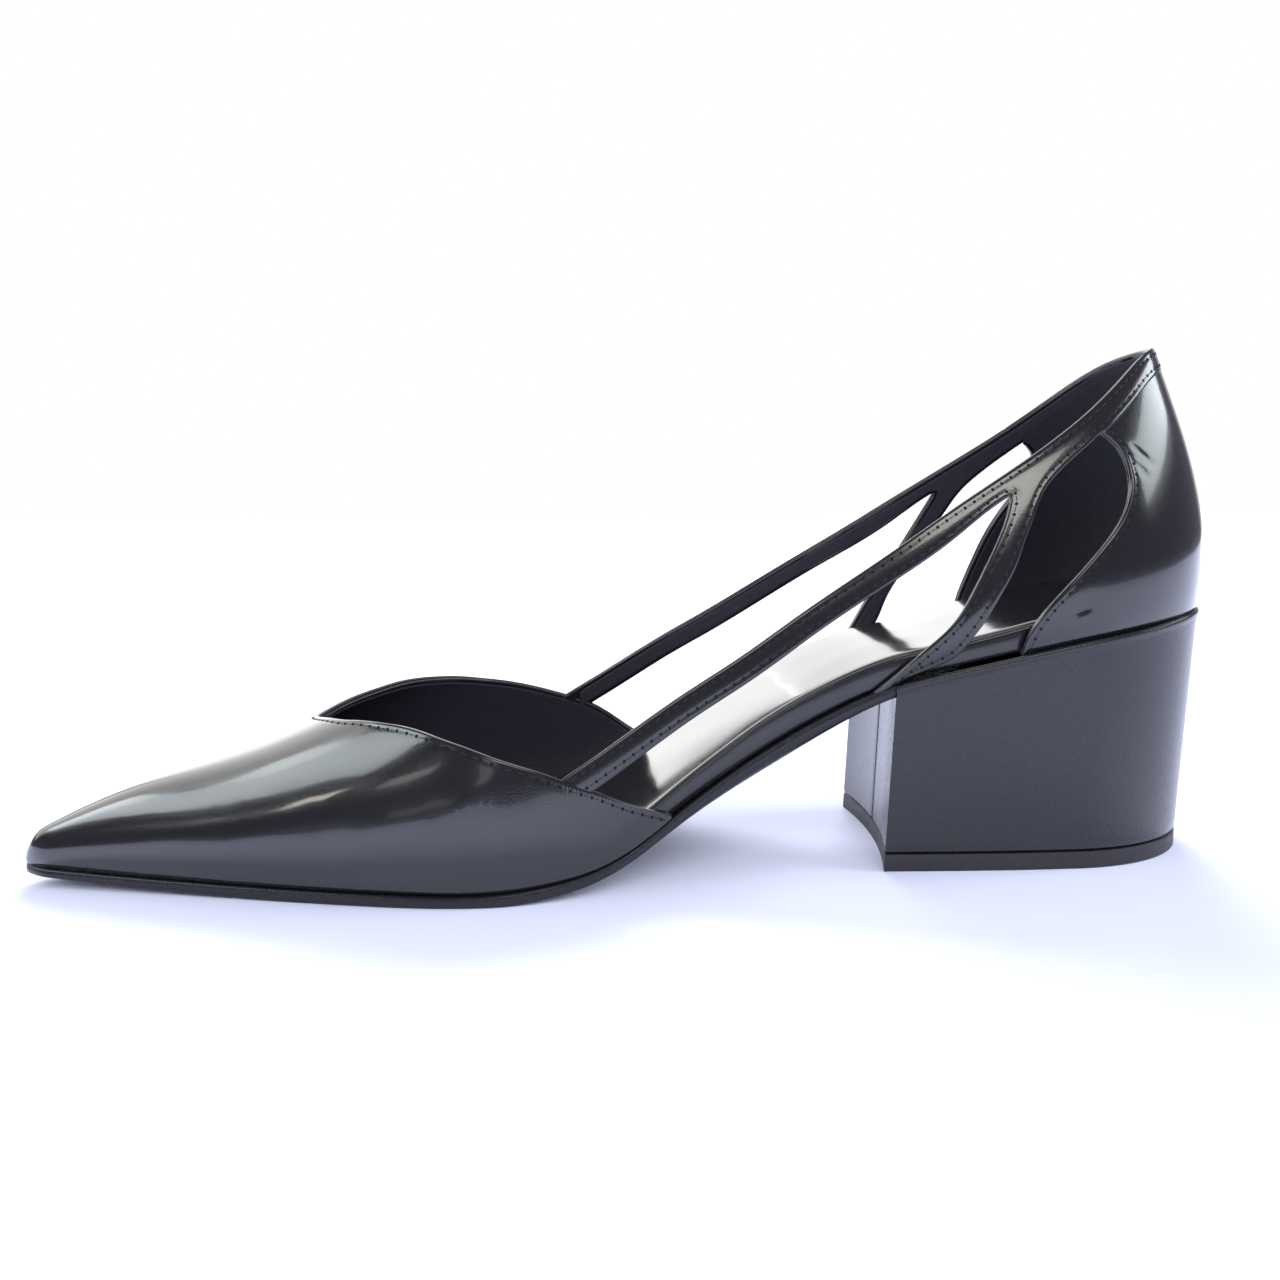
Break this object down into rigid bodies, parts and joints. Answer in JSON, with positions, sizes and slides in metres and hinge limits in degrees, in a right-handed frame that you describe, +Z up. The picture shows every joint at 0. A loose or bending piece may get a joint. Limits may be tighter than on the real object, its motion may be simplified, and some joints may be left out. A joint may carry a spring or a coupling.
{
  "type": "cut-out pump",
  "caption": "Pointed-toe pump for the right foot in glossy black leather, with thin side straps, open cut-outs and a covered block heel.",
  "frame": {"origin": "middle of the bounding box's footprint, on the floor that the shoe stands on", "axes": "+X from the toe to the heel, +Y to the lateral (outer) side of the foot, +Z up"},
  "size_m": [0.255, 0.0792, 0.1106],
  "materials": {
    "upper_leather": "glossy brushed box leather, black",
    "insole_leather": "glossy black leather sock with a wrapped edge",
    "heel_cover": "satin black leather cover",
    "lift_rubber": "matte black",
    "outsole_leather": "satin black with a painted edge"
  },
  "bodies": {
    "root": {"upper": "upper_leather", "insole": "insole_leather", "heel_block": "heel_cover", "top_lift": "lift_rubber", "outsole": "outsole_leather"}
  },
  "joints": []
}
